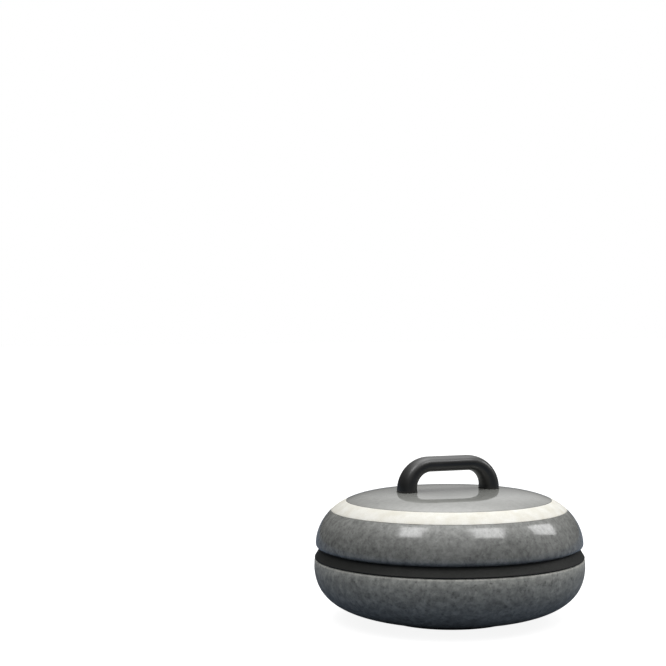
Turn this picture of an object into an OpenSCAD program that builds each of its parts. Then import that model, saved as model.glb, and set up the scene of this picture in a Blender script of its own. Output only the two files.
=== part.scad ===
// Curling stone: two turned granite halves clamped round a black rubber waist band,
// with a bridge handle held down by two long bolts that pass right through the stone.
// Millimetres, +Z up. The origin is the centre of the running band, where it meets the ice,
// and the handle's bar lies along X.

/* [Stone] */
// Widest diameter, at the top of the lower half
stone_d = 280; // [270:1:290]
// Height of the granite, from the ice to the crown
stone_h = 132; // [128:0.5:136]
// Widest diameter of the upper half
upper_d = 276; // [274:1:278]
// Height of the upper half's widest point
upper_wide_z = 78.5; // [78:0.5:80]
// How far the upper half's edge turns in between there and the band
lip_in = 4.5; // [3.5:0.1:4.5]
// Squareness of the crown seen from above its edge, 2 is an ellipse
crown_round = 4.6; // [4:0.1:5]
// Squareness of the crown seen from the side, 2 is an ellipse
crown_rise = 1.8; // [1.7:0.1:2]
// Squareness of the keel towards its rim
keel_round = 3.4; // [3.2:0.1:4]
// Squareness of the keel towards its foot
keel_drop = 2.8; // [2.6:0.1:3.2]

/* [Waist band] */
// Height of the band's lower edge
waist_z = 63.4; // [61:0.1:63.5]
// Height of the part of the band that shows
waist_h = 10.5; // [9.5:0.1:10.5]
// Radius of the band at its lower edge, inside the stone's radius by this much
waist_inset = 0.8; // [0.5:0.1:1.5]
// How far the band slopes in towards its upper edge
waist_slope = 5.3; // [5:0.1:6]
// Radius where the band's visible part meets its tongue
waist_seat_r = 128; // [126:0.5:129]
// Radial length of the tongue held between the two halves
tongue_w = 10; // [8:0.5:12]
// Thickness of the tongue
tongue_t = 3; // [2.5:0.1:3.4]

/* [Shoulder ring] */
// Inner radius of the pale ring let into the crown
ring_in_r = 106.5; // [103:0.5:108]
// Outer radius of the pale ring
ring_out_r = 122; // [118:0.5:123]
// Depth of the groove that holds the ring
ring_t = 3; // [2.5:0.1:4]

/* [Running insert] */
// Radius of the fine-grained disc let into the underside
disc_r = 76; // [74:0.5:80]
// Height of the disc's upper face above the ice
disc_top_z = 20; // [18:0.5:21]
// Inner radius of the flat running band
run_in_r = 60.5; // [60:0.1:61]
// Outer radius of the flat running band
run_out_r = 65.5; // [65:0.1:67]
// How far the running band stands below the granite round it
run_proud = 1; // [0.8:0.1:1.4]
// Height of the hollow cup at its centre
cup_z = 9; // [8.5:0.1:10]
// Height of the cup at its edge
cup_edge_z = 5.8; // [5.5:0.1:6.2]
// Thickness of the resin round the disc
resin_t = 0.6; // [0.4:0.1:0.8]

/* [Handle] */
// Distance between the centres of the handle's feet
feet_span = 92.5; // [90:0.5:94]
// Height of the handle's top above the crown
handle_rise = 35.5; // [35:0.5:38]
// Width of a foot along the bar
foot_w = 19; // [18.5:0.5:21]
// Depth of a foot across the bar
foot_d = 26; // [24:0.5:28]
// Thickness of the bar, from top to bottom
bar_t = 15.6; // [14:0.1:16]
// Depth of the bar from front to back
bar_d = 24; // [22:0.5:26]
// Radius of the corner along the handle's middle line
corner_r = 25; // [20:0.5:25.5]
// Thickness of the rubber pad under each foot
pad_t = 1.5; // [1.2:0.1:2]
// Depth of the flat seat cut in the crown for each pad
seat_depth = 1; // [0.9:0.1:1.2]

/* [Bolts] */
// Diameter of the bolt
bolt_d = 8; // [7.5:0.1:8.4]
// Thread pitch
pitch = 1.25; // [1:0.05:1.5]
// How far the bolt screws into the handle's foot
thread_in = 8.5; // [7:0.5:10]
// Height of the granite seat that the flat washer bears on
washer_seat_z = 25; // [24.5:0.1:25.5]
// Radius of the recess round the bolt head
recess_r = 11.5; // [10.8:0.1:11.9]
// Outer radius of the nylon sleeve
sleeve_r = 7; // [6.8:0.1:7.2]
// Height of the sleeve's upper end
sleeve_top_z = 118; // [112:0.5:120]
// Outer radius of the brass insert in a foot
insert_r = 6; // [5.8:0.1:6.2]
// Length of the brass insert
insert_len = 12; // [12:0.5:13]

/* [Hidden] */
LEFT = -1;
RIGHT = 1;
$fn = 96;

// Overlap that keeps a cut from leaving a skin.
cut = 1;

// Stone outline.
stone_r = stone_d / 2;
upper_r = upper_d / 2;
crown_h = stone_h - upper_wide_z;
keel_h = waist_z - run_proud;
outline_step = 3;

// Joint between the halves: a thin gasket inside, the band's tongue outside it.
tongue_z = waist_z + waist_h / 2;
gasket_t = 1;
gasket_r = waist_seat_r - tongue_w;
notch_z = waist_z + waist_h;
lip_drop = upper_wide_z - notch_z;
lip_r = (pow(lip_in, 2) + pow(lip_drop, 2)) / (2 * lip_in);
waist_low_r = stone_r - waist_inset;
band_edge = 0.5;
rim_fillet = 1.6;
rim_lap = 0.4;

// Handle.
foot_x = feet_span / 2;
seat_z = stone_h - seat_depth;
foot_z = seat_z + pad_t;
bar_z = stone_h + handle_rise - bar_t / 2;
corner_z = bar_z - corner_r;
bar_half = foot_x - corner_r;
leg_h = corner_z - foot_z;
leg_steps = 4;
corner_steps = 10;
bar_steps = 8;
section_sides = 32;
section_round = 2.4;
foot_flare = 1.6;
seat_gap = 0.3;

// Bolt stack, from the granite seat down to the head.
washer_t = 2;
flat_washer_r = 10;
lock_washer_r = 7.4;
washer_bore_r = bolt_d / 2 + 0.3;
lock_slot_w = 1.2;
lock_slot_lean = 25;
head_z = washer_seat_z - 2 * washer_t;
bolt_end = foot_z + thread_in;
head_h = 5.3;
head_flats = 13;
bolt_hole_r = bolt_d / 2 + 0.3;
sleeve_bore_r = bolt_d / 2 + 0.2;
sleeve_gap = 0.1;
thread_depth = 0.61 * pitch;
thread_gap = 0.05;
thread_lead = 1.2;
thread_room = 1.4;
free_turns = 8;
chamfer = 0.8;

// The crown's height at radius r.
function crown_z(r) = upper_wide_z + crown_h * pow(1 - pow(r / upper_r, crown_round), 1 / crown_rise);

// The keel's height at radius r.
function keel_z(r) = waist_z - keel_h * pow(1 - pow(r / stone_r, keel_round), 1 / keel_drop);

// Points along the crown from the widest point up to the axis.
function crown_points() = [
    for (t = [0 : outline_step : 90])
        [upper_r * pow(cos(t), 2 / crown_round), upper_wide_z + crown_h * pow(sin(t), 2 / crown_rise)]
];

// Points along the keel from the disc out to the rim.
function keel_points() = [
    for (t = [90 - outline_step : -outline_step : outline_step])
        let (r = stone_r * pow(cos(t), 2 / keel_round), z = waist_z - keel_h * pow(sin(t), 2 / keel_drop))
        if (r > disc_r + resin_t + 2) [r, z]
];

// Points along a circle of radius r round c, from angle a to angle b.
function arc(c, r, a, b, n) = [for (i = [0 : n]) let (t = a + (b - a) * i / n) c + r * [cos(t), sin(t)]];

// A rounded rectangle's outline: half sizes a and b, squareness section_round.
function signed_pow(v, e) = sign(v) * pow(abs(v), e);
function oval(a, b) = [
    for (i = [0 : section_sides - 1])
        let (t = 360 * i / section_sides)
        [a * signed_pow(cos(t), 2 / section_round), b * signed_pow(sin(t), 2 / section_round)]
];

// The shoulder ring's section: its face lies lift above the crown, its floor ring_t below it.
ring_steps = 6;
function ring_radius(i) = ring_in_r + (ring_out_r - ring_in_r) * i / ring_steps;
function crown_lean(r) = atan2(crown_z(r - 0.5) - crown_z(r + 0.5), 1);
function below_crown(r, depth) = [r - depth * sin(crown_lean(r)), crown_z(r) - depth * cos(crown_lean(r))];
function ring_section(lift) = concat(
    [for (i = [0 : ring_steps]) below_crown(ring_radius(i), -lift)],
    [for (i = [ring_steps : -1 : 0]) below_crown(ring_radius(i), ring_t)]
);

// A saw-tooth outline of a thread, as parallel grooves from z0 up to z1.
function thread_points(r_crest, r_root, z0, z1) = [
    for (i = [0 : floor((z1 - z0) / pitch) - 1], half = [0, 1])
        [half == 0 ? r_crest : r_root, z0 + pitch * (i + half / 2)]
];

module at_foot(side) {
    translate([side * foot_x, 0, 0]) children();
}

module upper_granite() {
    color("#7b7f7c") difference() {
        rotate_extrude() polygon(concat(
            [
                [0, tongue_z + gasket_t / 2],
                [gasket_r, tongue_z + gasket_t / 2],
                [gasket_r, tongue_z + tongue_t / 2],
                [waist_seat_r, tongue_z + tongue_t / 2],
                [waist_seat_r, notch_z]
            ],
            arc([upper_r - lip_r, upper_wide_z], lip_r, atan2(-lip_drop, lip_r - lip_in), -outline_step, 6),
            crown_points()
        ));
        rotate_extrude() polygon(ring_section(cut));
        for (side = [LEFT, RIGHT]) at_foot(side) {
            translate([0, 0, tongue_z - cut])
                cylinder(r = sleeve_r + sleeve_gap, h = sleeve_top_z - tongue_z + cut);
            translate([0, 0, tongue_z]) cylinder(r = bolt_hole_r, h = stone_h);
            translate([0, 0, seat_z])
                linear_extrude(seat_depth + cut) polygon(oval(foot_w / 2 + seat_gap, foot_d / 2 + seat_gap));
        }
    }
}

module lower_granite() {
    pocket_r = disc_r + resin_t;
    color("#5d6160") difference() {
        rotate_extrude() polygon(concat(
            [
                [0, disc_top_z + resin_t],
                [pocket_r, disc_top_z + resin_t],
                [pocket_r, keel_z(pocket_r)]
            ],
            keel_points(),
            arc([waist_low_r - rim_fillet + rim_lap, waist_z - rim_fillet], rim_fillet, 0, 90, 4),
            [
                [waist_seat_r, waist_z],
                [waist_seat_r, tongue_z - tongue_t / 2],
                [gasket_r, tongue_z - tongue_t / 2],
                [gasket_r, tongue_z - gasket_t / 2],
                [0, tongue_z - gasket_t / 2]
            ]
        ));
        for (side = [LEFT, RIGHT]) at_foot(side) {
            cylinder(r = recess_r, h = washer_seat_z);
            cylinder(r = sleeve_r + sleeve_gap, h = tongue_z);
        }
    }
}

// Fine-grained disc with the cup and the running band, the only part that touches the ice.
module running_insert() {
    edge_z = keel_z(disc_r + resin_t);
    cup_r = run_in_r - 2.5;
    cup_steps = 8;
    run_round = 1.5;
    color("#4a4f57") difference() {
        rotate_extrude() polygon(concat(
            [
                [0, disc_top_z],
                [0, cup_z]
            ],
            [
                for (i = [1 : cup_steps])
                    let (r = cup_r * i / cup_steps)
                    [r, cup_z - (cup_z - cup_edge_z) * pow(i / cup_steps, 2)]
            ],
            arc([run_in_r, run_round], run_round, 200, 270, 4),
            arc([run_out_r, run_round], run_round, 270, 320, 3),
            [
                [run_out_r + 2.5, run_proud],
                [disc_r, edge_z],
                [disc_r, disc_top_z]
            ]
        ));
        for (side = [LEFT, RIGHT]) at_foot(side) cylinder(r = recess_r, h = disc_top_z + cut);
    }
}

module insert_resin() {
    color("#c9c4b2") difference() {
        rotate_extrude() polygon([
            [0, disc_top_z],
            [disc_r, disc_top_z],
            [disc_r, keel_z(disc_r + resin_t)],
            [disc_r + resin_t, keel_z(disc_r + resin_t)],
            [disc_r + resin_t, disc_top_z + resin_t],
            [0, disc_top_z + resin_t]
        ]);
        for (side = [LEFT, RIGHT]) at_foot(side) cylinder(r = recess_r, h = disc_top_z + cut);
    }
}

module waist_band() {
    color("#232422") rotate_extrude() polygon([
        [gasket_r, tongue_z - tongue_t / 2],
        [waist_seat_r, tongue_z - tongue_t / 2],
        [waist_seat_r, waist_z],
        [waist_low_r - band_edge, waist_z],
        [waist_low_r, waist_z + band_edge],
        [waist_low_r, waist_z + 2 * band_edge],
        [waist_low_r - waist_slope, notch_z - band_edge],
        [waist_low_r - waist_slope - band_edge, notch_z],
        [waist_seat_r, notch_z],
        [waist_seat_r, tongue_z + tongue_t / 2],
        [gasket_r, tongue_z + tongue_t / 2]
    ]);
}

module shoulder_ring() {
    color("#e6e1d2") rotate_extrude() polygon(ring_section(0));
}

module joint_gasket() {
    color("#3a3a38") difference() {
        translate([0, 0, tongue_z - gasket_t / 2]) cylinder(r = gasket_r - 0.5, h = gasket_t);
        for (side = [LEFT, RIGHT]) at_foot(side) cylinder(r = sleeve_r + sleeve_gap, h = stone_h);
    }
}

// The handle's middle line from the left foot to the middle of the bar, as [x, z, turn, share],
// where turn is the angle travelled round the corner and share runs from 0 at the foot to 1 at the bar.
corner_len = PI * corner_r / 2;
function handle_half() = concat(
    [
        for (i = [0 : leg_steps])
            let (s = leg_h * i / leg_steps)
            [-foot_x, foot_z + s, 0, s / (leg_h + corner_len)]
    ],
    [
        for (i = [1 : corner_steps])
            let (t = 90 * i / corner_steps)
            [
                -bar_half - corner_r * cos(t),
                corner_z + corner_r * sin(t),
                t,
                (leg_h + corner_len * i / corner_steps) / (leg_h + corner_len)
            ]
    ],
    [for (i = [1 : bar_steps / 2]) [-bar_half + 2 * bar_half * i / bar_steps, bar_z, 90, 1]]
);
function mirrored(p) = [-p[0], p[1], 180 - p[2], p[3]];
function handle_line() = let (half = handle_half(), n = len(half)) concat(
    half,
    [for (i = [n - 2 : -1 : 0]) mirrored(half[i])]
);

// Half sizes of the grip's section: in the plane of the bridge, and across it.
function grip_a(share) = bar_t / 2 + (foot_w - bar_t) / 2 * pow(1 - share, foot_flare);
function grip_b(share) = bar_d / 2 + (foot_d - bar_d) / 2 * pow(1 - share, foot_flare);

module grip_solid() {
    line = handle_line();
    rings = len(line);
    points = [
        for (p = line, q = oval(grip_a(p[3]), grip_b(p[3])))
            [p[0] - q[0] * cos(p[2]), q[1], p[1] + q[0] * sin(p[2])]
    ];
    sides = [
        for (i = [0 : rings - 2], j = [0 : section_sides - 1])
            let (a = i * section_sides, b = a + section_sides, k = (j + 1) % section_sides)
            each [[a + j, a + k, b + k], [a + j, b + k, b + j]]
    ];
    first = [for (j = [section_sides - 1 : -1 : 0]) j];
    last = [for (j = [0 : section_sides - 1]) (rings - 1) * section_sides + j];
    polyhedron(points, concat(sides, [first, last]));
}

module handle_grip() {
    color("#1d1d1c") difference() {
        grip_solid();
        for (side = [LEFT, RIGHT]) at_foot(side)
            translate([0, 0, foot_z - cut]) cylinder(r = insert_r, h = insert_len + cut);
    }
}

// Threaded brass insert moulded into a foot, with two grooves that key it into the grip.
module handle_insert(side) {
    groove = 0.8;
    groove_near = 3;
    groove_far = 5;
    crest_r = bolt_d / 2 + thread_gap;
    thread_top = bolt_end + thread_room;
    top_z = foot_z + insert_len;
    color("#b08d4a") at_foot(side) rotate_extrude() polygon(concat(
        [
            [crest_r + groove, foot_z],
            [crest_r, foot_z + thread_lead - pitch / 2]
        ],
        thread_points(crest_r, crest_r - thread_depth, foot_z + thread_lead, thread_top - thread_gap),
        [
            [bolt_d / 2 - thread_depth, thread_top],
            [0, thread_top],
            [0, top_z],
            [insert_r - groove, top_z],
            [insert_r, top_z - groove],
            [insert_r, top_z - groove_near],
            [insert_r - groove, top_z - groove_near - groove / 2],
            [insert_r - groove, top_z - groove_far + groove / 2],
            [insert_r, top_z - groove_far],
            [insert_r, foot_z + groove_far],
            [insert_r - groove, foot_z + groove_far - groove / 2],
            [insert_r - groove, foot_z + groove_near + groove / 2],
            [insert_r, foot_z + groove_near],
            [insert_r, foot_z]
        ]
    ));
}

module foot_pad(side) {
    color("#30302e") at_foot(side) translate([0, 0, seat_z]) difference() {
        linear_extrude(pad_t) polygon(oval(foot_w / 2, foot_d / 2));
        translate([0, 0, -cut]) cylinder(r = bolt_hole_r, h = pad_t + 2 * cut);
    }
}

module handle_bolt(side) {
    thread_z = foot_z + thread_lead - free_turns * pitch;
    thread_end = bolt_end - chamfer;
    across_corners = head_flats / cos(30);
    color("#9a9da0") at_foot(side) {
        rotate_extrude() polygon(concat(
            [
                [0, head_z - cut],
                [bolt_d / 2, head_z - cut],
                [bolt_d / 2, thread_z - pitch / 2]
            ],
            thread_points(bolt_d / 2, bolt_d / 2 - thread_depth, thread_z, thread_end),
            [
                [bolt_d / 2 - thread_depth - 0.2, thread_end + chamfer],
                [0, thread_end + chamfer]
            ]
        ));
        intersection() {
            translate([0, 0, head_z - head_h]) cylinder(d = across_corners, h = head_h, $fn = 6);
            translate([0, 0, head_z - head_h])
                cylinder(r1 = head_flats / 2 - 0.1, r2 = head_flats / 2 + head_h * 1.6, h = head_h);
        }
    }
}

// Split spring washer, its slot leaning across the ring.
module lock_washer(side) {
    color("#84878a") at_foot(side) difference() {
        translate([0, 0, head_z]) cylinder(r = lock_washer_r, h = washer_t);
        translate([0, 0, head_z - cut]) cylinder(r = washer_bore_r, h = washer_t + 2 * cut);
        translate([side * lock_washer_r, 0, head_z + washer_t / 2]) rotate([lock_slot_lean, 0, 0])
            cube([lock_washer_r, lock_slot_w, 3 * washer_t], center = true);
    }
}

module flat_washer(side) {
    color("#a9acae") at_foot(side) difference() {
        translate([0, 0, head_z + washer_t]) cylinder(r = flat_washer_r, h = washer_t);
        translate([0, 0, head_z]) cylinder(r = washer_bore_r, h = washer_t + 2 * cut + 1);
    }
}

// Nylon tube that keeps the bolt off the granite and the two halves in line.
module bolt_sleeve(side) {
    color("#d8d6cc") at_foot(side) difference() {
        translate([0, 0, washer_seat_z]) cylinder(r = sleeve_r, h = sleeve_top_z - washer_seat_z - 0.5);
        cylinder(r = sleeve_bore_r, h = stone_h);
    }
}

upper_granite();
lower_granite();
running_insert();
insert_resin();
waist_band();
shoulder_ring();
joint_gasket();
handle_grip();
handle_insert(LEFT);  // handle_insert_left
handle_insert(RIGHT);  // handle_insert_right
foot_pad(LEFT);  // foot_pad_left
foot_pad(RIGHT);  // foot_pad_right
handle_bolt(LEFT);  // handle_bolt_left
handle_bolt(RIGHT);  // handle_bolt_right
lock_washer(LEFT);  // lock_washer_left
lock_washer(RIGHT);  // lock_washer_right
flat_washer(LEFT);  // flat_washer_left
flat_washer(RIGHT);  // flat_washer_right
bolt_sleeve(LEFT);  // bolt_sleeve_left
bolt_sleeve(RIGHT);  // bolt_sleeve_right
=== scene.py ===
import math

import bmesh
import bpy
from mathutils import Matrix, Vector


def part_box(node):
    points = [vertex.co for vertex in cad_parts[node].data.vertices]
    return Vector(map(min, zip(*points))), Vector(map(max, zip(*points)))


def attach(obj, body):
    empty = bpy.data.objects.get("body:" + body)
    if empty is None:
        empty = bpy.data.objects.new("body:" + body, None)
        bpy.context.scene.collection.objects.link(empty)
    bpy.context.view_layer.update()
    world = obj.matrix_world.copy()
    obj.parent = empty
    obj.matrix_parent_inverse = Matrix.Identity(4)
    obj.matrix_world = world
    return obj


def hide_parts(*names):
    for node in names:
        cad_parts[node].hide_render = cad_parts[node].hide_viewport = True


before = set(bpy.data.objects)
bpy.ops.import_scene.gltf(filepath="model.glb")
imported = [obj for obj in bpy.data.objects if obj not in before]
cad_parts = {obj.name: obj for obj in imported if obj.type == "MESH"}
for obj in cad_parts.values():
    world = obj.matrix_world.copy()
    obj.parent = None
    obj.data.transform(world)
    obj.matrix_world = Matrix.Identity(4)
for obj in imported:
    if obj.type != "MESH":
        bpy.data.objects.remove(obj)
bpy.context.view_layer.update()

MM = 0.001

# ---------------------------------------------------------------- sizes, in millimetres


def corners(node):
    """A CAD node's lowest and highest corners."""
    return [[v / MM for v in corner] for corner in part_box(node)]


UPPER_HIGH = corners("upper_granite")[1]
BAND_LOW, BAND_HIGH = corners("waist_band")
DISC_HIGH = corners("running_insert")[1]
PAD_LOW, PAD_HIGH = corners("foot_pad_right")
GRIP_HIGH = corners("handle_grip")[1]
WASHER_HIGH = corners("flat_washer_right")[1]
SLEEVE_LOW, SLEEVE_HIGH = corners("bolt_sleeve_right")
BRASS_LOW, BRASS_HIGH = corners("handle_insert_right")

# The stone's outline: two rounded forms, each with its squareness seen from above and from the side.
STONE_R = 140.0
KEEL_ROUND, KEEL_DROP = 3.4, 2.8
RUN_PROUD = 1.0
UPPER_R = 138.0
UPPER_WIDE_Z = 78.5
CROWN_ROUND, CROWN_RISE = 4.6, 1.8
STONE_TOP = UPPER_HIGH[2]
LIP_IN = 4.5
RIM_FILLET = 3.0
RIM_LAP = 0.3

# The waist band, and the rebate that holds its tongue between the halves.
WAIST_Z, NOTCH_Z = BAND_LOW[2], BAND_HIGH[2]
WAIST_R = BAND_HIGH[0]
WAIST_SLOPE = 5.3
LIP_DROP = UPPER_WIDE_Z - NOTCH_Z
LIP_R = (LIP_IN**2 + LIP_DROP**2) / (2 * LIP_IN)
LIP_START = -math.degrees(math.atan2(LIP_DROP, LIP_R - LIP_IN))
WAIST_SEAT_R = 128.0
BAND_EDGE_R = 0.7
TONGUE_R = 118.0
TONGUE_T = 3.0
GASKET_T = 1.0
JOINT_Z = (WAIST_Z + NOTCH_Z) / 2

# The shoulder ring's groove.
RING_IN_R, RING_OUT_R = 106.5, 122.0
RING_T = 3.0
JOINT_GAP = 0.12
EDGE_BREAK = 0.35

# The running disc.
DISC_R, DISC_TOP = DISC_HIGH[0], DISC_HIGH[2]
RESIN_T = 0.6
RUN_IN_R, RUN_OUT_R = 60.5, 65.5
RUN_ROUND = 1.5
RUN_SIDE = 2.5
CUP_Z, CUP_EDGE_Z = 9.0, 5.8

# The handle.
FOOT_X = (PAD_LOW[0] + PAD_HIGH[0]) / 2
FOOT_W, FOOT_D = PAD_HIGH[0] - PAD_LOW[0], PAD_HIGH[1] - PAD_LOW[1]
SEAT_Z, FOOT_Z = PAD_LOW[2], PAD_HIGH[2]
BAR_T, BAR_D = 15.6, 24.0
BAR_Z = GRIP_HIGH[2] - BAR_T / 2
CORNER_R = 25.0
SECTION_ROUND = 2.4
FOOT_FLARE = 1.6
FOOT_ROUND_H, FOOT_ROUND_IN = 1.1, 0.55
PARTING_LINE = 0.12
GRIP_SIDES = 72
SEAT_GAP = 0.3

# The bolts' holes.
RECESS_R = 11.5
WASHER_SEAT_Z = WASHER_HIGH[2]
SLEEVE_BORE_R = (SLEEVE_HIGH[0] - SLEEVE_LOW[0]) / 2 + 0.1
SLEEVE_TOP_Z = SLEEVE_HIGH[2] + 0.5
BOLT_BORE_R = 4.3
BRASS_R = (BRASS_HIGH[0] - BRASS_LOW[0]) / 2

TURNS = 320

# ---------------------------------------------------------------- outlines


def spread(start, end, steps):
    return [start + (end - start) * i / steps for i in range(steps + 1)]


def arc(centre, radius, start, end, steps):
    """Points round a centre, from one angle to another in degrees."""
    angles = [math.radians(a) for a in spread(start, end, steps)]
    return [(centre[0] + radius * math.cos(a), centre[1] + radius * math.sin(a)) for a in angles]


def crown_z(r):
    share = 1 - (r / UPPER_R) ** CROWN_ROUND
    return UPPER_WIDE_Z + (STONE_TOP - UPPER_WIDE_Z) * share ** (1 / CROWN_RISE)


def keel_z(r):
    share = 1 - (r / STONE_R) ** KEEL_ROUND
    return WAIST_Z - (WAIST_Z - RUN_PROUD) * share ** (1 / KEEL_DROP)


def crown_points(r_from, r_to, steps):
    """Points along the crown between two radii, closer together where it curves more."""
    turn = [math.acos((r / UPPER_R) ** (CROWN_ROUND / 2)) for r in (r_from, r_to)]
    radii = [UPPER_R * math.cos(t) ** (2 / CROWN_ROUND) for t in spread(*turn, steps)]
    return [(r, crown_z(min(r, UPPER_R))) for r in radii]


def keel_points(r_from, r_to, steps):
    turn = [math.acos((r / STONE_R) ** (KEEL_ROUND / 2)) for r in (r_from, r_to)]
    radii = [STONE_R * math.cos(t) ** (2 / KEEL_ROUND) for t in spread(*turn, steps)]
    return [(r, keel_z(min(r, STONE_R))) for r in radii]


def below_crown(r, depth):
    """The point at a depth under the crown, along its normal."""
    lean = math.atan(crown_z(r - 0.5) - crown_z(r + 0.5))
    return r - depth * math.sin(lean), crown_z(r) - depth * math.cos(lean)


def oval(a, b, sides):
    """A rounded rectangle's outline, from its half sizes."""
    power = 2 / SECTION_ROUND
    angles = [2 * math.pi * i / sides for i in range(sides)]
    return [
        (
            a * math.copysign(abs(math.cos(t)) ** power, math.cos(t)),
            b * math.copysign(abs(math.sin(t)) ** power, math.sin(t)),
        )
        for t in angles
    ]


# ---------------------------------------------------------------- meshes


def turned(outline, closed=False):
    """A bmesh turned round Z from (radius, height) points. A closed outline comes back to its start."""
    bm = bmesh.new()
    rings = []
    for r, z in outline:
        if r < 1e-6:
            rings.append([bm.verts.new((0, 0, z * MM))])
            continue
        angles = [2 * math.pi * i / TURNS for i in range(TURNS)]
        rings.append([bm.verts.new((r * MM * math.cos(a), r * MM * math.sin(a), z * MM)) for a in angles])
    pairs = list(zip(rings, rings[1:] + rings[:1])) if closed else list(zip(rings, rings[1:]))
    for low, high in pairs:
        for i in range(TURNS):
            j = (i + 1) % TURNS
            quad = [low[i % len(low)], low[j % len(low)], high[j % len(high)], high[i % len(high)]]
            bm.faces.new(list(dict.fromkeys(quad)))
    bmesh.ops.recalc_face_normals(bm, faces=bm.faces)
    return bm


def lofted(rings):
    """A closed bmesh through rings of points, in millimetres, with flat ends."""
    bm = bmesh.new()
    rows = [[bm.verts.new(Vector(p) * MM) for p in ring] for ring in rings]
    sides = len(rows[0])
    for low, high in zip(rows, rows[1:]):
        for i in range(sides):
            j = (i + 1) % sides
            bm.faces.new((low[i], low[j], high[j], high[i]))
    bm.faces.new(rows[0][::-1])
    bm.faces.new(rows[-1])
    bmesh.ops.recalc_face_normals(bm, faces=bm.faces)
    return bm


def upright(x, r, low, high, sides=64):
    """A plain round bar that cuts a bore."""
    ring = [(x + r * math.cos(a), r * math.sin(a)) for a in (2 * math.pi * i / sides for i in range(sides))]
    return lofted([[(px, py, z) for px, py in ring] for z in (low, high)])


def to_object(bm, name):
    """Turns a bmesh into an object in the scene."""
    mesh = bpy.data.meshes.new(name)
    bm.to_mesh(mesh)
    bm.free()
    obj = bpy.data.objects.new(name, mesh)
    bpy.context.scene.collection.objects.link(obj)
    return obj


def cut(obj, cutters):
    """Cuts the shapes out of obj for good."""
    tools = [to_object(bm, "cutter") for bm in cutters]
    for tool in tools:
        change = obj.modifiers.new("cut", "BOOLEAN")
        change.object = tool
        change.solver = "EXACT"
    depsgraph = bpy.context.evaluated_depsgraph_get()
    mesh = bpy.data.meshes.new_from_object(obj.evaluated_get(depsgraph))
    obj.modifiers.clear()
    mesh.name = obj.name
    obj.data = mesh
    for tool in tools:
        bpy.data.objects.remove(tool)


def finish_piece(obj, material, node, sharp=32):
    """Shades a piece smoothly and ties it to the CAD node that it stands for."""
    obj.data.materials.clear()
    obj.data.materials.append(material)
    obj.data.polygons.foreach_set("use_smooth", [True] * len(obj.data.polygons))
    obj.data.set_sharp_from_angle(angle=math.radians(sharp))
    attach(obj, "root")
    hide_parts(node)
    return obj


# ---------------------------------------------------------------- materials


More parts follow.
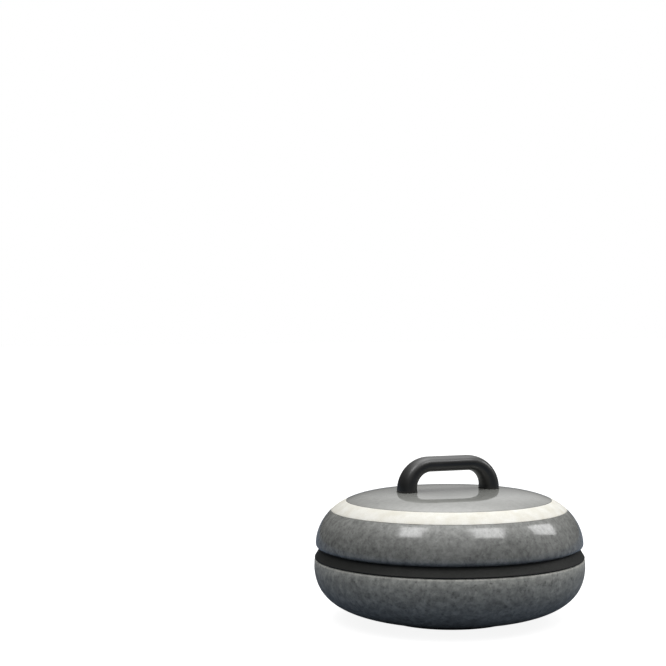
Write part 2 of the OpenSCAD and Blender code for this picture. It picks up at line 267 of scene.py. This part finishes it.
class Shader:
    """A material's nodes, made one short line at a time."""

    def __init__(self, name):
        self.material = bpy.data.materials.new(name)
        self.material.use_nodes = True
        self.tree = self.material.node_tree
        self.bsdf = self.tree.nodes["Principled BSDF"]
        place = self.add("ShaderNodeTexCoord").outputs["Object"]
        self.place = self.scaled(place, 1 / MM)

    def add(self, kind, settings=None, **inputs):
        node = self.tree.nodes.new(kind)
        for key, value in (settings or {}).items():
            setattr(node, key, value)
        for key, value in inputs.items():
            self.feed(node.inputs[key.replace("_", " ")], value)
        return node

    def feed(self, socket, value):
        if isinstance(value, bpy.types.NodeSocket):
            self.tree.links.new(value, socket)
        else:
            socket.default_value = value

    def surface(self, **inputs):
        for key, value in inputs.items():
            self.feed(self.bsdf.inputs[key.replace("_", " ")], value)

    def scaled(self, vector, factor):
        node = self.add("ShaderNodeVectorMath", {"operation": "SCALE"}, Vector=vector)
        node.inputs["Scale"].default_value = factor
        return node.outputs["Vector"]

    def math(self, operation, a, b=0.0):
        node = self.add("ShaderNodeMath", {"operation": operation})
        self.feed(node.inputs[0], a)
        self.feed(node.inputs[1], b)
        return node.outputs[0]

    def total(self, *weighted):
        """The sum of (value, weight) pairs."""
        result = 0.0
        for value, weight in weighted:
            result = self.math("ADD", self.math("MULTIPLY", value, weight), result)
        return result

    def noise(self, size, detail=3.0, rough=0.5, vector=None):
        """Cloudy noise whose lumps are about size millimetres across."""
        node = self.add("ShaderNodeTexNoise", Vector=vector or self.place, Scale=1 / size, Detail=detail)
        node.inputs["Roughness"].default_value = rough
        return node.outputs["Fac"]

    def bent(self, size, reach):
        """The place, pushed about by noise, so that grains get ragged edges."""
        wander = self.add("ShaderNodeTexNoise", Vector=self.place, Scale=1 / size, Detail=3.0)
        centred = self.add("ShaderNodeVectorMath", {"operation": "SUBTRACT"})
        self.feed(centred.inputs[0], wander.outputs["Color"])
        centred.inputs[1].default_value = (0.5, 0.5, 0.5)
        both = self.add("ShaderNodeVectorMath", {"operation": "ADD"})
        self.feed(both.inputs[0], self.place)
        self.feed(both.inputs[1], self.scaled(centred.outputs[0], 2 * reach))
        return both.outputs[0]

    def grains(self, size, vector):
        """A random number from 0 to 1 for each crystal of about size millimetres."""
        cells = self.add("ShaderNodeTexVoronoi", Vector=vector, Scale=1 / size)
        return self.add("ShaderNodeSeparateColor", Color=cells.outputs["Color"]).outputs["Red"]

    def ramp(self, value, *stops):
        """Colours or grey levels at places from 0 to 1."""
        node = self.add("ShaderNodeValToRGB", Fac=value)
        elements = node.color_ramp.elements
        for place, colour in stops[2:]:
            elements.new(place)
        for element, (place, colour) in zip(elements, sorted(stops, key=lambda stop: stop[0])):
            level = colour if isinstance(colour, tuple) else (colour,) * 3
            element.position = place
            element.color = (*level, 1)
        return node.outputs["Color"]

    def mix(self, share, a, b, blend="MIX"):
        node = self.add("ShaderNodeMix", {"data_type": "RGBA", "blend_type": blend})
        self.feed(node.inputs[0], share)
        for socket, value in zip(node.inputs[6:8], (a, b)):
            self.feed(socket, (*value, 1) if isinstance(value, tuple) else value)
        return node.outputs[2]

    def bump(self, height, depth):
        """Relief whose height of 0 to 1 stands for depth millimetres."""
        node = self.add("ShaderNodeBump", Height=height, Distance=depth * MM, Strength=1.0)
        self.feed(self.bsdf.inputs["Normal"], node.outputs["Normal"])

    def height(self):
        """The height over the ice, in millimetres."""
        return self.add("ShaderNodeSeparateXYZ", Vector=self.place).outputs["Z"]

    def radius(self):
        """The distance from the stone's axis, in millimetres."""
        parts = self.add("ShaderNodeSeparateXYZ", Vector=self.place)
        flat = self.add("ShaderNodeCombineXYZ", X=parts.outputs["X"], Y=parts.outputs["Y"])
        length = self.add("ShaderNodeVectorMath", {"operation": "LENGTH"}, Vector=flat.outputs[0])
        return length.outputs["Value"]

    def between(self, value, low, high):
        """0 below low, 1 above high, and smooth between them."""
        node = self.add("ShaderNodeMapRange", {"interpolation_type": "SMOOTHSTEP"}, Value=value)
        node.inputs["From Min"].default_value = low
        node.inputs["From Max"].default_value = high
        return node.outputs["Result"]


def speckle(s):
    """Granite's pattern from 0 to 1: big ragged crystals, small ones between them, and soft mottling."""
    big = s.grains(4.6, s.bent(3.6, 2.6))
    small = s.grains(1.9, s.bent(1.6, 0.8))
    mottle = s.noise(6.0, 3.0, 0.6)
    pattern = s.total((big, 0.26), (small, 0.24), (mottle, 1.5))
    return s.math("SUBTRACT", pattern, 0.5), small


def granite(s, shades, contrast, roughness, relief, middle=0.5):
    """Speckled granite in three shades. Contrast, roughness and the middle shade's level may vary over it."""
    deep, mid, pale = shades
    pattern, small = speckle(s)
    level = s.math("ADD", s.math("MULTIPLY", s.math("SUBTRACT", pattern, 0.5), contrast), middle)
    colour = s.ramp(level, (0.1, deep), (0.5, mid), (0.9, pale))
    fleck = s.math("MULTIPLY", s.between(s.noise(4.4, 3.0), 0.56, 0.8), contrast)
    colour = s.mix(fleck, colour, tuple(0.8 * c for c in deep))
    cloud = s.ramp(s.noise(34.0, 3.0, 0.5), (0.3, 0.93), (0.7, 1.06))
    s.surface(Base_Color=s.mix(1.0, colour, cloud, "MULTIPLY"))
    own_polish = s.math("MULTIPLY", s.math("SUBTRACT", small, 0.5), 0.02)
    s.surface(Roughness=s.math("ADD", roughness, own_polish))
    s.bump(s.total((small, 0.5), (s.noise(0.9, 3.0), 0.5)), relief)
    return s.material


def upper_granite_material():
    """Polished: a mirror finish and quiet grain on the crown, and a softer polish outside the ring. The crown
    is painted paler than the dome outside the ring: painted light for the lit top and the shaded sides.
    """
    s = Shader("granite_polished")
    outside = s.between(s.radius(), RING_IN_R, RING_OUT_R)
    contrast = s.total((outside, 0.55), (1.0, 0.25))
    roughness = s.total((outside, 0.06), (1.0, 0.08))
    # Painted light: the shades are lifted on the crown and lowered outside the ring, standing in for the lit
    # top and the shaded sides.
    middle = s.total((outside, -0.22), (1.0, 0.72))
    shades = (0.112, 0.114, 0.106), (0.198, 0.201, 0.188), (0.284, 0.287, 0.27)
    s.surface(Specular_IOR_Level=0.95)
    return granite(s, shades, contrast, roughness, 0.002, middle)


def lower_granite_material():
    """Honed: the same stone with a duller face, and a painted highlight: a band under its rim is painted
    paler, where the top edge catches the light.
    """
    s = Shader("granite_honed")
    # Painted highlight: the shades are lifted in a band just under the rim, standing in for light caught by
    # the top edge.
    rim = s.between(s.height(), WAIST_Z - 11.0, WAIST_Z - 1.0)
    middle = s.total((rim, 0.24), (1.0, 0.5))
    shades = (0.17, 0.17, 0.155), (0.31, 0.31, 0.283), (0.46, 0.458, 0.418)
    return granite(s, shades, 0.9, 0.5, 0.02, middle)


def running_material():
    """Fine-grained blue granite: the running band is worn bright, the rest is ground."""
    s = Shader("granite_running")
    inner = s.between(s.radius(), RUN_IN_R - 1, RUN_IN_R)
    outer = s.between(s.radius(), RUN_OUT_R, RUN_OUT_R + 1)
    roughness = s.total((inner, -0.34), (outer, 0.34), (1.0, 0.6))
    shades = (0.05, 0.06, 0.075), (0.1, 0.115, 0.14), (0.16, 0.18, 0.2)
    return granite(s, shades, 0.8, roughness, 0.05)


def ring_material():
    """Cast cream inlay with faint clouds and a few fine pits."""
    s = Shader("cream_inlay")
    cloud = s.ramp(s.noise(14.0, 4.0, 0.55), (0.32, (0.67, 0.645, 0.56)), (0.66, (0.79, 0.78, 0.725)))
    grain = s.ramp(s.noise(1.1, 2.0), (0.35, 0.94), (0.6, 1.0))
    s.surface(Base_Color=s.mix(1.0, cloud, grain, "MULTIPLY"))
    s.surface(Roughness=s.ramp(s.noise(2.5, 2.0), (0.3, 0.4), (0.7, 0.52)))
    s.bump(s.noise(0.7, 3.0), 0.02)
    return s.material


def rubber_material(name, colour, shine=0.5):
    """Moulded rubber with a paler bloom in patches."""
    s = Shader(name)
    s.surface(Specular_IOR_Level=shine)
    bloom = s.ramp(s.noise(22.0, 4.0), (0.35, colour), (0.75, tuple(1.35 * c for c in colour)))
    s.surface(Base_Color=bloom)
    s.surface(Roughness=s.ramp(s.noise(1.5, 2.0), (0.3, 0.56), (0.7, 0.7)))
    s.bump(s.noise(0.5, 3.0), 0.03)
    return s.material


def grip_material():
    """Black moulded plastic with a fine eroded texture and faint patches of wear."""
    s = Shader("grip_plastic")
    s.surface(Specular_IOR_Level=0.85)
    wear = s.noise(12.0, 4.0)
    s.surface(Base_Color=s.ramp(wear, (0.3, (0.005, 0.005, 0.0045)), (0.75, (0.008, 0.008, 0.0075))))
    s.surface(Roughness=s.ramp(wear, (0.3, 0.29), (0.75, 0.37)))
    s.bump(s.noise(0.8, 2.0), 0.001)
    return s.material


def metal_material(name, colour, roughness):
    """Plated or turned metal, a little darker in patches."""
    s = Shader(name)
    s.surface(Metallic=1.0)
    s.surface(Base_Color=s.ramp(s.noise(3.0, 3.0), (0.3, tuple(0.82 * c for c in colour)), (0.7, colour)))
    s.surface(Roughness=s.ramp(s.noise(0.9, 3.0), (0.3, roughness - 0.08), (0.7, roughness + 0.08)))
    s.bump(s.noise(0.4, 2.0), 0.01)
    return s.material


def plain_material(name, colour, roughness):
    """Hidden plastic, resin and sheet rubber, with cloudy colour and a little grain."""
    s = Shader(name)
    s.surface(Base_Color=s.ramp(s.noise(6.0, 3.0), (0.3, tuple(0.85 * c for c in colour)), (0.7, colour)))
    s.surface(Roughness=s.ramp(s.noise(1.4, 2.0), (0.3, roughness - 0.07), (0.7, roughness + 0.07)))
    s.bump(s.noise(0.6, 2.0), 0.015)
    return s.material


# ---------------------------------------------------------------- pieces


def make_upper_granite():
    outline = [
        (0, JOINT_Z + GASKET_T / 2),
        (TONGUE_R, JOINT_Z + GASKET_T / 2),
        (TONGUE_R, JOINT_Z + TONGUE_T / 2),
        (WAIST_SEAT_R, JOINT_Z + TONGUE_T / 2),
        (WAIST_SEAT_R, NOTCH_Z),
        *arc((UPPER_R - LIP_R, UPPER_WIDE_Z), LIP_R, LIP_START, -4, 12),
        *crown_points(UPPER_R, RING_OUT_R + EDGE_BREAK, 40),
        below_crown(RING_OUT_R, EDGE_BREAK),
        below_crown(RING_OUT_R, RING_T),
        below_crown(RING_IN_R, RING_T),
        below_crown(RING_IN_R, EDGE_BREAK),
        *crown_points(RING_IN_R - EDGE_BREAK, 0, 44),
    ]
    obj = to_object(turned(outline), "upper_shell")
    cutters = []
    for x in (-FOOT_X, FOOT_X):
        seat = [(x + px, py) for px, py in oval(FOOT_W / 2 + SEAT_GAP, FOOT_D / 2 + SEAT_GAP, 64)]
        cutters.append(lofted([[(px, py, z) for px, py in seat] for z in (SEAT_Z, STONE_TOP + 1)]))
        cutters.append(upright(x, SLEEVE_BORE_R, JOINT_Z - 1, SLEEVE_TOP_Z))
        cutters.append(upright(x, BOLT_BORE_R, SLEEVE_TOP_Z - 1, SEAT_Z + 1))
    cut(obj, cutters)
    return finish_piece(obj, upper_granite_material(), "upper_granite")


def make_lower_granite():
    pocket_r = DISC_R + RESIN_T
    rim = (WAIST_R - RIM_FILLET + RIM_LAP, WAIST_Z - RIM_FILLET)
    outline = [
        (0, DISC_TOP + RESIN_T),
        (pocket_r, DISC_TOP + RESIN_T),
        (pocket_r, keel_z(pocket_r) + EDGE_BREAK),
        *keel_points(pocket_r + EDGE_BREAK, STONE_R - 0.25, 60),
        *arc(rim, RIM_FILLET, 8, 90, 10),
        (WAIST_SEAT_R, WAIST_Z),
        (WAIST_SEAT_R, JOINT_Z - TONGUE_T / 2),
        (TONGUE_R, JOINT_Z - TONGUE_T / 2),
        (TONGUE_R, JOINT_Z - GASKET_T / 2),
        (0, JOINT_Z - GASKET_T / 2),
    ]
    obj = to_object(turned(outline), "lower_shell")
    cutters = []
    for x in (-FOOT_X, FOOT_X):
        cutters.append(upright(x, RECESS_R, DISC_TOP - 1, WASHER_SEAT_Z))
        cutters.append(upright(x, SLEEVE_BORE_R, WASHER_SEAT_Z - 1, JOINT_Z + 1))
    cut(obj, cutters)
    return finish_piece(obj, lower_granite_material(), "lower_granite")


def make_running_disc():
    edge_z = keel_z(DISC_R + RESIN_T)
    cup_r = RUN_IN_R - RUN_SIDE
    cup = [(cup_r * s, CUP_Z - (CUP_Z - CUP_EDGE_Z) * s * s) for s in spread(0, 1, 24)]
    outline = [
        *cup,
        *arc((RUN_IN_R, RUN_ROUND), RUN_ROUND, 200, 268, 8),
        *[(r, 0) for r in spread(RUN_IN_R, RUN_OUT_R, 4)],
        *arc((RUN_OUT_R, RUN_ROUND), RUN_ROUND, 272, 320, 6),
        (RUN_OUT_R + RUN_SIDE, RUN_PROUD),
        (DISC_R - 0.3, edge_z - 0.12),
        (DISC_R, edge_z + 0.2),
        (DISC_R, DISC_TOP),
        (0, DISC_TOP),
    ]
    obj = to_object(turned(outline), "running_disc")
    cut(obj, [upright(x, RECESS_R, 0, DISC_TOP + 1) for x in (-FOOT_X, FOOT_X)])
    return finish_piece(obj, running_material(), "running_insert")


def make_waist_band():
    """T-section rubber ring: a sloped face with soft edges, and a tongue."""
    face_low, face_high = WAIST_Z + 1.1, NOTCH_Z - 0.7
    face = [
        (WAIST_R - WAIST_SLOPE * share - 0.05, face_low + (face_high - face_low) * share)
        for share in spread(0, 1, 8)
    ]
    outline = [
        (TONGUE_R, JOINT_Z - TONGUE_T / 2),
        (WAIST_SEAT_R, JOINT_Z - TONGUE_T / 2),
        (WAIST_SEAT_R, WAIST_Z),
        *arc((WAIST_R - BAND_EDGE_R, WAIST_Z + BAND_EDGE_R), BAND_EDGE_R, -90, 25, 6),
        *face,
        (WAIST_R - WAIST_SLOPE - 0.5, NOTCH_Z),
        (WAIST_SEAT_R, NOTCH_Z),
        (WAIST_SEAT_R, JOINT_Z + TONGUE_T / 2),
        (TONGUE_R, JOINT_Z + TONGUE_T / 2),
    ]
    obj = to_object(turned(outline, closed=True), "waist_ring")
    rubber = rubber_material("waist_rubber", (0.009, 0.0095, 0.0078), shine=0.35)
    return finish_piece(obj, rubber, "waist_band")


def make_shoulder_ring():
    """Cream ring whose face follows the crown, with its edges just rounded."""
    low, high = RING_IN_R + JOINT_GAP, RING_OUT_R - JOINT_GAP
    outline = [
        below_crown(low, RING_T),
        below_crown(low, 0.25),
        below_crown(low + 0.08, 0.08),
        *[below_crown(r, 0) for r in spread(low + 0.3, high - 0.3, 14)],
        below_crown(high - 0.08, 0.08),
        below_crown(high, 0.25),
        below_crown(high, RING_T),
    ]
    obj = to_object(turned(outline, closed=True), "cream_ring")
    return finish_piece(obj, ring_material(), "shoulder_ring")


def handle_line():
    """The handle's middle line, foot to foot, as (x, z, turn, share). Share is 0 at a foot, 1 at the bar."""
    corner_z = BAR_Z - CORNER_R
    bar_half = FOOT_X - CORNER_R
    corner_len = math.pi * CORNER_R / 2
    length = corner_z - FOOT_Z + corner_len
    half = []
    for s in (0, 0.25, 0.6, 1.1, corner_z - FOOT_Z):
        half.append((-FOOT_X, FOOT_Z + s, 0.0, s / length))
    for i in range(1, 25):
        t = math.pi / 2 * i / 24
        share = (corner_z - FOOT_Z + corner_len * i / 24) / length
        half.append((-bar_half - CORNER_R * math.cos(t), corner_z + CORNER_R * math.sin(t), t, share))
    for s in spread(0, 1, 10)[1:]:
        half.append((-bar_half * (1 - s), BAR_Z, math.pi / 2, 1.0))
    return half + [(-x, z, math.pi - t, share) for x, z, t, share in reversed(half[:-1])]


def make_handle_grip():
    """The bridge grip: flared feet with rounded bottom edges, and a fine parting line round the middle."""
    rings = []
    for x, z, turn, share in handle_line():
        flare = (1 - share) ** FOOT_FLARE
        rise = min(z - FOOT_Z, FOOT_ROUND_H) / FOOT_ROUND_H
        inset = FOOT_ROUND_IN * (1 - math.sqrt(max(0.0, 1 - (1 - rise) ** 2)))
        a = BAR_T / 2 + (FOOT_W - BAR_T) / 2 * flare - inset
        b = BAR_D / 2 + (FOOT_D - BAR_D) / 2 * flare - inset
        ring = []
        for i, (p, q) in enumerate(oval(a, b, GRIP_SIDES)):
            if i % (GRIP_SIDES // 2) == 0:
                p *= 1 - PARTING_LINE / a
            ring.append((x - p * math.cos(turn), q, z + p * math.sin(turn)))
        rings.append(ring)
    obj = to_object(lofted(rings), "bridge_grip")
    cut(obj, [upright(x, BRASS_R, FOOT_Z - 1, BRASS_HIGH[2]) for x in (-FOOT_X, FOOT_X)])
    return finish_piece(obj, grip_material(), "handle_grip", sharp=40)


def make_foot_pad(side, name, node, material):
    """A thin rubber pad, its rim a little rounded."""
    x = side * FOOT_X
    levels = ((SEAT_Z, 0.15), (SEAT_Z + 0.2, 0.0), (FOOT_Z - 0.25, 0.0), (FOOT_Z - 0.08, 0.08), (FOOT_Z, 0.3))
    rings = []
    for z, inset in levels:
        rings.append([(x + p, q, z) for p, q in oval(FOOT_W / 2 - inset, FOOT_D / 2 - inset, 64)])
    obj = to_object(lofted(rings), name)
    cut(obj, [upright(x, BOLT_BORE_R, SEAT_Z - 1, FOOT_Z + 1)])
    return finish_piece(obj, material, node)


def dress_cad_nodes():
    """The hidden fittings keep their CAD shape and get their own materials."""
    steel = metal_material("zinc_steel", (0.55, 0.56, 0.58), 0.36)
    spring = metal_material("spring_steel", (0.42, 0.43, 0.45), 0.42)
    brass = metal_material("turned_brass", (0.72, 0.5, 0.2), 0.3)
    nylon = plain_material("nylon_tube", (0.7, 0.68, 0.6), 0.5)
    resin = plain_material("bonding_resin", (0.5, 0.47, 0.38), 0.45)
    gasket = rubber_material("gasket_rubber", (0.04, 0.04, 0.038))
    finishes = {"insert_resin": resin, "joint_gasket": gasket}
    for side in ("left", "right"):
        finishes[f"handle_bolt_{side}"] = steel
        finishes[f"flat_washer_{side}"] = steel
        finishes[f"lock_washer_{side}"] = spring
        finishes[f"handle_insert_{side}"] = brass
        finishes[f"bolt_sleeve_{side}"] = nylon
    for node, material in finishes.items():
        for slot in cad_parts[node].material_slots:
            slot.material = material


# ---------------------------------------------------------------- stage, light and camera

CAMERA_AZ = -24.0
CAMERA_EL = 9.0
CAMERA_DISTANCE = 1555.0
CAMERA_HEIGHT = 62.0
CAMERA_LENS = 79.8
CAMERA_PITCH = -0.355
CAMERA_YAW = 4.42
CAMERA_ROLL = -0.45
ROOM_LOW, ROOM_HIGH = 0.055, 0.27
# Soft lights in the room's walls: azimuth, elevation, focus and radiance.
GLOWS = (
    (0.0, 90.0, 4.0, 1.62),
    (156.0, 70.0, 18.0, 2.0),
    (152.0, 16.0, 44.0, 0.55),
    (156.0, 46.0, 14.0, 0.8),
    (72.0, 5.0, 5.0, 0.35),
    (-18.0, 8.0, 6.0, 0.08),
    (-20.0, 48.0, 6.0, 0.25),
)
FLOOR_TINT = (0.058, 0.08, 0.12)
FLOOR_SEEN = 0.28
FLOOR_GLOW = 0.9
LAMP_DISTANCE = 2.0


def heading(az, el):
    """A unit vector; azimuth 0 is the -Y side."""
    az, el = math.radians(az), math.radians(el)
    return Vector((math.sin(az) * math.cos(el), -math.cos(az) * math.cos(el), math.sin(el)))


def place_camera():
    """Stands the camera round the stone's waist and turns it so that the stone is low on the right."""
    data = bpy.data.cameras.new("photo_camera")
    data.lens = CAMERA_LENS
    camera = bpy.data.objects.new("photo_camera", data)
    out = heading(CAMERA_AZ, CAMERA_EL)
    place = Matrix.Translation(out * CAMERA_DISTANCE * MM + Vector((0, 0, CAMERA_HEIGHT * MM)))
    turn = Matrix.Rotation(math.radians(CAMERA_AZ + CAMERA_YAW), 4, "Z")
    tilt = Matrix.Rotation(math.radians(90 + CAMERA_PITCH), 4, "X")
    roll = Matrix.Rotation(math.radians(CAMERA_ROLL), 4, "Z")
    camera.matrix_world = place @ turn @ tilt @ roll
    bpy.context.scene.collection.objects.link(camera)
    bpy.context.scene.camera = camera


def softbox(name, az, el, turn, width, height, radiance):
    """A rectangular lamp that points at the stone. Azimuth 0 is the -Y side; width and height are at 1 m."""
    out = heading(az, el)
    data = bpy.data.lights.new(name, "AREA")
    data.shape = "RECTANGLE"
    data.size, data.size_y = width * LAMP_DISTANCE, height * LAMP_DISTANCE
    data.energy = math.pi * data.size * data.size_y * radiance
    lamp = bpy.data.objects.new(name, data)
    place = Matrix.Translation(out * LAMP_DISTANCE + Vector((0, 0, CAMERA_HEIGHT * MM)))
    facing = out.to_track_quat("Z", "Y").to_matrix().to_4x4()
    lamp.matrix_world = place @ facing @ Matrix.Rotation(math.radians(turn), 4, "Z")
    bpy.context.scene.collection.objects.link(lamp)


def light_studio():
    """Three small softboxes, in front and on both sides. The room itself gives the rest."""
    softbox("key_left", -73.5, 59, 24, 0.275, 0.40, 4.2)
    softbox("key_front", 27.5, 57, -27, 0.38, 0.39, 3.9)
    softbox("key_right", 82.5, 34.5, -40, 0.385, 0.29, 3.7)


def light_world():
    """A room, dim near the floor and brighter overhead, with soft glows. The camera sees it plain white."""
    world = bpy.data.worlds.new("studio")
    bpy.context.scene.world = world
    world.use_nodes = True
    nodes, links = world.node_tree.nodes, world.node_tree.links

    def step(operation, a, b, kind="ShaderNodeMath"):
        node = nodes.new(kind)
        node.operation = operation
        for socket, value in zip(node.inputs, (a, b)):
            if isinstance(value, bpy.types.NodeSocket):
                links.new(value, socket)
            else:
                socket.default_value = value
        return node.outputs["Value"]

    way = nodes.new("ShaderNodeTexCoord").outputs["Generated"]
    height = step("MAXIMUM", step("DOT_PRODUCT", way, (0, 0, 1), "ShaderNodeVectorMath"), 0.0)
    room = step("ADD", step("MULTIPLY", height, ROOM_HIGH - ROOM_LOW), ROOM_LOW)
    for az, el, focus, level in GLOWS:
        near = step("DOT_PRODUCT", way, heading(az, el), "ShaderNodeVectorMath")
        glow = step("MULTIPLY", step("POWER", step("MAXIMUM", near, 0.0), focus), level)
        room = step("ADD", room, glow)
    seen = nodes.new("ShaderNodeLightPath").outputs["Is Camera Ray"]
    links.new(step("MAXIMUM", room, seen), nodes["Background"].inputs["Strength"])
    nodes["Background"].inputs["Color"].default_value = (1, 1, 1, 1)


def make_floor():
    """A pale floor that looks white and throws only a little bluish light back up, like ice."""
    bm = bmesh.new()
    bmesh.ops.create_grid(bm, x_segments=8, y_segments=8, size=20)
    floor = to_object(bm, "floor")
    s = Shader("pale_floor")
    seen = s.add("ShaderNodeLightPath").outputs["Is Camera Ray"]
    s.surface(Base_Color=s.mix(seen, FLOOR_TINT, (FLOOR_SEEN,) * 3), Roughness=0.9)
    s.surface(Emission_Color=(1, 1, 1, 1), Emission_Strength=s.math("MULTIPLY", seen, FLOOR_GLOW))
    floor.data.materials.append(s.material)


def main():
    make_upper_granite()
    make_lower_granite()
    make_running_disc()
    make_waist_band()
    make_shoulder_ring()
    make_handle_grip()
    pad = rubber_material("pad_rubber", (0.03, 0.03, 0.028))
    make_foot_pad(-1, "left_pad", "foot_pad_left", pad)
    make_foot_pad(1, "right_pad", "foot_pad_right", pad)
    dress_cad_nodes()
    make_floor()
    light_world()
    light_studio()
    place_camera()
    bpy.context.scene.view_settings.view_transform = "Standard"


main()
